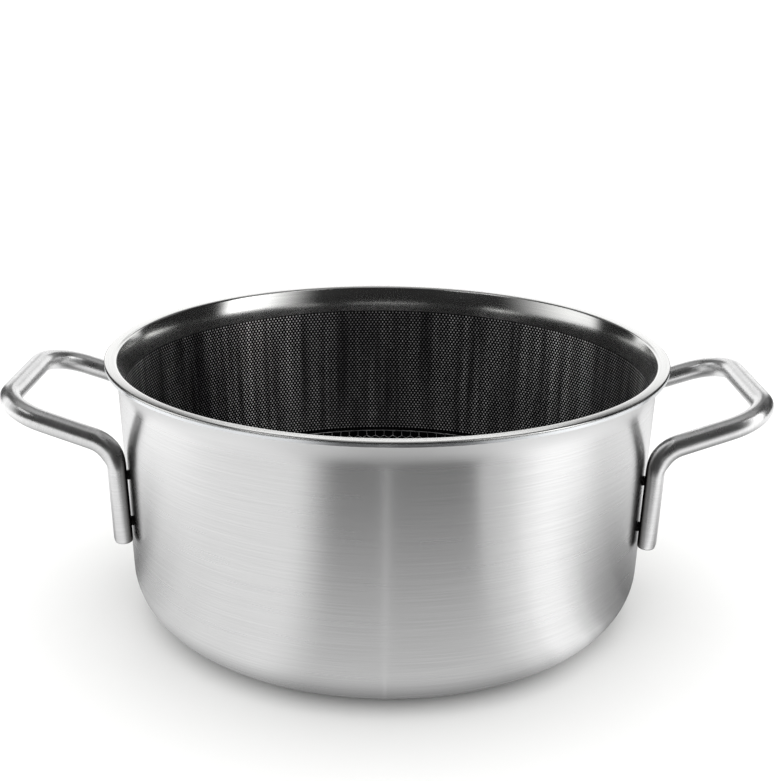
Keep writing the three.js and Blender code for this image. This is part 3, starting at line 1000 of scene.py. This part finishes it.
def handle(side, material):
    """A handle: the front half's sections carried along its line, mirrored to the rear half."""
    stations = handle_stations()
    normal = OUT_OF_WALL.copy()
    before = stations[0][1]
    rings = []
    for point, way, section in stations:
        normal.rotate(before.rotation_difference(way))
        before = way
        across = way.cross(normal)
        rings.append([point + normal * s.x + across * s.y for s in section])
    # Shares of painted shade, dark on the legs' sides that face the wall across the narrow gap.
    painted_gap_shade = []
    for point, _, section in stations:
        on_leg = smooth((LEG_SIDE_TOP - point.z) / LEG_BEND_RADIUS)
        painted_gap_shade.append([smooth((SHADE_SIDE_START - s.x) / SHADE_SIDE_FADE) * on_leg for s in section])
    painted_gap_shade += painted_gap_shade[-2::-1]
    lengths = [0]
    for (point, _, _), (following, _, _) in zip(stations, stations[1:]):
        lengths.append(lengths[-1] + (following - point).length)
    lengths += [2 * lengths[-1] - length for length in lengths[-2::-1]]
    rings += [[Vector((v.x, -v.y, v.z)) for v in ring] for ring in rings[-2::-1]]
    half_turn = -1 if side == "left" else 1
    vertices = [(half_turn * v.x, half_turn * v.y, v.z) for ring in rings for v in ring]
    piece = add_piece(f"{side}_grip", vertices, tube_faces(len(rings), ROD_SIDES), material)
    along = [length for length in lengths for _ in range(ROD_SIDES)]
    piece.data.attributes.new("along", "FLOAT", "POINT").data.foreach_set("value", along)
    gap_shade_values = [share for ring in painted_gap_shade for share in ring]
    piece.data.attributes.new("painted_gap_shade", "FLOAT", "POINT").data.foreach_set("value", gap_shade_values)
    settle(piece, "handle_steel", f"{side}_handle")


def weld_bead(name, material):
    """A weld spot between the wall and a leg, at its node's place: waisted, and flared at both ends."""
    low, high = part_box(name)
    middle = (low + high) / 2
    out = Vector((middle.x, middle.y, 0)).normalized() * math.cos(LEAN) - Vector((0, 0, math.sin(LEAN)))
    to_bead = Vector((0, 0, 1)).rotation_difference(out).to_matrix()
    half = WELD_GAP / 2 + WELD_SINK
    vertices = []
    for height in spread(-half, half, WELD_STEPS):
        share = abs(height) / half
        radius = WELD_DIAMETER / 2 * (WELD_WAIST + (1 - WELD_WAIST) * share ** 2)
        for side in range(WELD_SIDES):
            turn = 2 * math.pi * side / WELD_SIDES
            local = Vector((radius * math.cos(turn), radius * math.sin(turn), height))
            vertices.append(middle + to_bead @ local)
    faces = tube_faces(WELD_STEPS + 1, WELD_SIDES)
    piece = add_piece(name.replace("_weld", "_bead"), vertices, faces, material)
    settle(piece, "weld_steel", name)


def handles():
    """Both handles with their weld spots."""
    rod = rod_stainless()
    weld = scorched_weld()
    for side in ("left", "right"):
        handle(side, rod)
        for end in ("front", "rear"):
            for level in ("lower", "upper"):
                weld_bead(f"{side}_{end}_{level}_weld", weld)


# Studio: a pale floor, soft light that comes mostly from above, and cards that only reflections see

BACKDROP_LIGHT = 1.45  # what the camera sees behind the floor
HORIZON_LIGHT = 0.55  # the floor's light grows from here
ZENITH_LIGHT = 1.9  # up to here, so that the pot's foot has a close shadow
FLOOR_REACH = 12  # from the pot to the floor's edges
CARD_RADIUS = 1.5
TENT_RADIUS = 1.7
TENT_FOOT = 2 * MM
TENT_HEIGHT = 2.4
TENT_LIGHT = 0.015
TENT_SIDES = 48
# Lamps that light nothing but the dots
DOT_LAMP_AZIMUTHS = (-20, 160)
DOT_LAMP_RISE = math.radians(32)
DOT_LAMP_SPREAD = math.radians(20)
DOT_LAMP_STRENGTH = 11
# Curved cards round the pot: azimuths in degrees, heights, light, the fade at the two sides in degrees
# and the fade at the top
SOFTBOX_COLUMNS = 32
SOFTBOX_ROWS = 12
SOFTBOXES = {
    "left_softbox": ((-118, -56), (0.02, 1.5), 1.4, (8, 45), 0.15),
    "right_softbox": ((34, 90), (0.02, 1.7), 2.6, (46, 10), 0.15),
    "rear_softbox": ((142, 218), (0.02, 0.75), 1.35, (6, 6), 0.15),
    "rear_middle_softbox": ((163, 197), (0.65, 1.3), 1.35, (6, 6), 0.15),
    "right_rear_softbox": ((118, 160), (0.7, 1.3), 0.15, (6, 6), 0.15),
    "left_rear_softbox": ((200, 242), (0.7, 1.3), 0.15, (6, 6), 0.15),
    "right_front_softbox": ((30, 70), (1.7, 2.2), 1.8, (12, 12), 0.15),
    "left_front_softbox": ((-78, -30), (1.5, 2.2), 1.8, (12, 12), 0.15),
    "rear_top_softbox": ((145, 215), (1.25, 2.3), 0.3, (6, 6), 0.4),
}
# Flat cards above: a disc, and part of a ring round it, open towards the front
CEILING_HEIGHT = TENT_HEIGHT - 0.05
OVERHEAD_RADIUS = 0.75
OVERHEAD_SIDES = 24
OVERHEAD_LIGHT = 0.45
CROWN_RADII = (0.85, 1.45)
CROWN_AZIMUTHS = (65, 295)
CROWN_STEPS = 24
CROWN_LIGHT = 0.4
# The card on the floor
FLOOR_CONTACT = 102 * MM  # the floor's light in reflections starts here, weak, under the pot's corner
CONTACT_LIGHT = 0.3  # of the near light
FLOOR_NEAR = 132 * MM  # the light is at its near value here, and from there on changes to its far value
FLOOR_FADE = 390 * MM
FLOOR_CARD_HEIGHT = 1 * MM
FLOOR_CARD_RINGS = 40
FLOOR_CARD_STEPS = 12  # between two azimuths of the plan
# Azimuths in degrees, from the front (-Y) towards the right (+X), with the near and the far light there
FLOOR_PLAN = (
    (-180, 0.7, 0.12),
    (-160, 0.7, 0.12),
    (-148, 1.15, 0.6),
    (-125, 1.15, 1.1),
    (-112, 0.45, 1.4),
    (-96, 0.2, 1.5),
    (-80, 0.65, 1.4),
    (-62, 0.9, 1.2),
    (-48, 1.0, 1.15),
    (-31, 1.05, 1.1),
    (-15, 0.75, 0.12),
    (-0.2, 0.75, 0.12),
    (0.3, 0.88, 1.7),
    (0.8, 0.75, 0.12),
    (29, 0.75, 0.12),
    (32, 0.8, 0.7),
    (40, 1.0, 0.75),
    (47, 1.3, 1.0),
    (54, 1.25, 1.35),
    (60, 0.9, 1.5),
    (67, 0.5, 1.55),
    (73, 0.35, 1.5),
    (78, 0.3, 1.35),
    (83, 0.2, 1.25),
    (112, 0.45, 1.25),
    (125, 1.2, 1.1),
    (148, 1.2, 0.6),
    (160, 0.7, 0.12),
    (180, 0.7, 0.12),
)


def emitter(name, strength):
    """Material of a card: one light all over, or the light stored at each of its points."""
    material = bpy.data.materials.new(name)
    material.use_nodes = True
    tree = material.node_tree
    tree.nodes.clear()
    if strength is None:
        strength = add_node(tree, "ShaderNodeAttribute", attribute_name="light").outputs["Fac"]
    light = add_node(tree, "ShaderNodeEmission", {"Strength": strength})
    add_node(tree, "ShaderNodeOutputMaterial", {"Surface": light.outputs[0]})
    return material


def add_card(name, vertices, faces, strength=None, lights=()):
    """A card of the set that shows in reflections only."""
    mesh = bpy.data.meshes.new(name)
    mesh.from_pydata(vertices, [], faces)
    mesh.materials.append(emitter(name, strength))
    if lights:
        mesh.attributes.new("light", "FLOAT", "POINT").data.foreach_set("value", lights)
    card = bpy.data.objects.new(name, mesh)
    bpy.context.scene.collection.objects.link(card)
    card.visible_camera = False
    card.visible_diffuse = False
    card.visible_shadow = False
    card.visible_transmission = False


def grid_faces(columns, rows):
    """Faces of a grid whose points are listed column by column."""
    return [
        (c * rows + r, (c + 1) * rows + r, (c + 1) * rows + r + 1, c * rows + r + 1)
        for c in range(columns - 1)
        for r in range(rows - 1)
    ]


def on_circle(azimuth, radius, height):
    """A point at an azimuth in degrees, counted from the front (-Y) towards the right (+X)."""
    turn = math.radians(azimuth)
    return (radius * math.sin(turn), -radius * math.cos(turn), height)


def softbox(name, azimuths, heights, strength, soft_sides, soft_end):
    """A curved light card between two azimuths and two heights, which fades out at its sides and top."""
    columns = spread(*azimuths, SOFTBOX_COLUMNS)
    rows = spread(*heights, SOFTBOX_ROWS)
    vertices = []
    lights = []
    for azimuth in columns:
        side = smooth(min((azimuth - azimuths[0]) / soft_sides[0], (azimuths[1] - azimuth) / soft_sides[1]))
        for height in rows:
            end = smooth(min(height - heights[0] + soft_end, heights[1] - height) / soft_end)
            vertices.append(on_circle(azimuth, CARD_RADIUS, height))
            lights.append(TENT_LIGHT + (strength - TENT_LIGHT) * side * end)
    add_card(name, vertices, grid_faces(len(columns), len(rows)), lights=lights)


def floor_light():
    """The card on the floor, lit as the floor plan says."""
    shares = spread(0, 1, FLOOR_CARD_RINGS)
    radii = [FLOOR_CONTACT + (CARD_RADIUS - FLOOR_CONTACT) * share ** 2 for share in shares]
    vertices = []
    lights = []
    for (first, *first_lights), (last, *last_lights) in zip(FLOOR_PLAN, FLOOR_PLAN[1:]):
        for share in spread(0, 1, FLOOR_CARD_STEPS):
            azimuth = first + (last - first) * share
            near, far = [a + (b - a) * smooth(share) for a, b in zip(first_lights, last_lights)]
            for radius in radii:
                away = smooth((radius - FLOOR_NEAR) / (FLOOR_FADE - FLOOR_NEAR))
                clear = smooth((radius - FLOOR_CONTACT) / (FLOOR_NEAR - FLOOR_CONTACT))
                share_of_light = CONTACT_LIGHT + (1 - CONTACT_LIGHT) * clear
                vertices.append(on_circle(azimuth, radius, FLOOR_CARD_HEIGHT))
                lights.append((near + (far - near) * away) * share_of_light)
    columns = len(vertices) // len(radii)
    add_card("floor_light", vertices, grid_faces(columns, len(radii)), lights=lights)


def dot_lamps():
    """Lamps high in front and behind that light nothing but the dots on the far wall."""
    lit = bpy.data.collections.new("lit_dots")
    for piece in bpy.context.scene.objects:
        if piece.name.startswith("wall_dots"):
            lit.objects.link(piece)
    for azimuth in DOT_LAMP_AZIMUTHS:
        data = bpy.data.lights.new("dot_lamp", "SUN")
        data.energy = DOT_LAMP_STRENGTH
        data.angle = DOT_LAMP_SPREAD
        lamp = bpy.data.objects.new("dot_lamp", data)
        lamp.rotation_euler = (math.pi / 2 - DOT_LAMP_RISE, 0, math.radians(azimuth))
        lamp.visible_glossy = False
        lamp.light_linking.receiver_collection = lit
        bpy.context.scene.collection.objects.link(lamp)


def studio_air():
    """The world: white behind the floor, with more light from above than from the sides."""
    world = bpy.data.worlds.new("studio_air")
    bpy.context.scene.world = world
    world.use_nodes = True
    air = world.node_tree
    way = add_node(air, "ShaderNodeTexCoord").outputs["Generated"]
    up = add_node(air, "ShaderNodeSeparateXYZ", {0: way}).outputs["Z"]
    dome = add_node(
        air, "ShaderNodeMapRange", {"Value": up, "To Min": HORIZON_LIGHT, "To Max": ZENITH_LIGHT}
    ).outputs["Result"]
    seen = add_node(air, "ShaderNodeLightPath").outputs["Is Camera Ray"]
    strength = add_node(air, "ShaderNodeMix", {"Factor": seen, VALUE_A: dome, VALUE_B: BACKDROP_LIGHT})
    background = air.nodes["Background"]
    background.inputs["Color"].default_value = (1, 1, 1, 1)
    air.links.new(strength.outputs[0], background.inputs["Strength"])


def pale_floor():
    """A wide sheet of matt white paper."""
    paper, _, _ = new_finish(
        "pale_floor", Base_Color=linear("#f0f0ef"), Roughness=1.0, Specular_IOR_Level=0.0
    )
    corners = [(x * FLOOR_REACH, y * FLOOR_REACH, 0) for x, y in ((-1, -1), (1, -1), (1, 1), (-1, 1))]
    mesh = bpy.data.meshes.new("floor")
    mesh.from_pydata(corners, [], [(0, 1, 2, 3)])
    mesh.materials.append(paper)
    floor = bpy.data.objects.new("floor", mesh)
    bpy.context.scene.collection.objects.link(floor)


def dark_tent():
    """A tent round the set, which keeps the room out of the reflections."""
    azimuths = [360 * k / TENT_SIDES for k in range(TENT_SIDES)]
    vertices = [on_circle(a, TENT_RADIUS, z) for z in (TENT_FOOT, TENT_HEIGHT) for a in azimuths]
    faces = []
    for k in range(TENT_SIDES):
        after = (k + 1) % TENT_SIDES
        faces.append((k, after, TENT_SIDES + after, TENT_SIDES + k))
    faces.append(tuple(range(TENT_SIDES, 2 * TENT_SIDES)))
    add_card("tent", vertices, faces, TENT_LIGHT)


def ceiling_cards():
    """The flat cards above the pot."""
    turns = [360 * k / OVERHEAD_SIDES for k in range(OVERHEAD_SIDES)]
    disc = [on_circle(azimuth, OVERHEAD_RADIUS, CEILING_HEIGHT) for azimuth in turns]
    add_card("overhead_softbox", disc, [tuple(range(OVERHEAD_SIDES))], OVERHEAD_LIGHT)
    azimuths = spread(*CROWN_AZIMUTHS, CROWN_STEPS)
    crown = [on_circle(azimuth, radius, CEILING_HEIGHT) for azimuth in azimuths for radius in CROWN_RADII]
    add_card("crown_softbox", crown, grid_faces(len(azimuths), len(CROWN_RADII)), CROWN_LIGHT)


def studio():
    """World, floor, cards and lamps."""
    studio_air()
    pale_floor()
    dark_tent()
    floor_light()
    for name, settings in SOFTBOXES.items():
        softbox(name, *settings)
    dot_lamps()
    ceiling_cards()


# Camera, fitted to the photograph: 780 x 781 pixels


def photo_camera():
    """The camera at the photograph's place, with its small roll and shift."""
    # In the photograph's pixels
    frame_side = 781
    focal_pixels = 1236.5
    shift_right = 3.12
    shift_up = 0.5
    data = bpy.data.cameras.new("camera")
    data.sensor_width = 36
    data.lens = focal_pixels * data.sensor_width / frame_side
    data.shift_x = shift_right / frame_side
    data.shift_y = shift_up / frame_side
    data.clip_start = 10 * MM
    camera = bpy.data.objects.new("camera", data)
    down = math.radians(17.84)
    roll = math.radians(0.67)
    distance = 575.5 * MM
    aim = Vector((0, 0, 100.6 * MM))
    place = aim + distance * Vector((0, -math.cos(down), math.sin(down)))
    camera.matrix_world = (
        Matrix.Translation(place)
        @ Matrix.Rotation(math.pi / 2 - down, 4, "X")
        @ Matrix.Rotation(roll, 4, "Z")
    )
    bpy.context.scene.collection.objects.link(camera)
    bpy.context.scene.camera = camera


photo_camera()
bpy.context.scene.view_settings.view_transform = "Standard"
body()
pattern_steel = bare_pattern_steel()
wall_dots(pattern_steel)
honeycomb(pattern_steel)
handles()
studio()
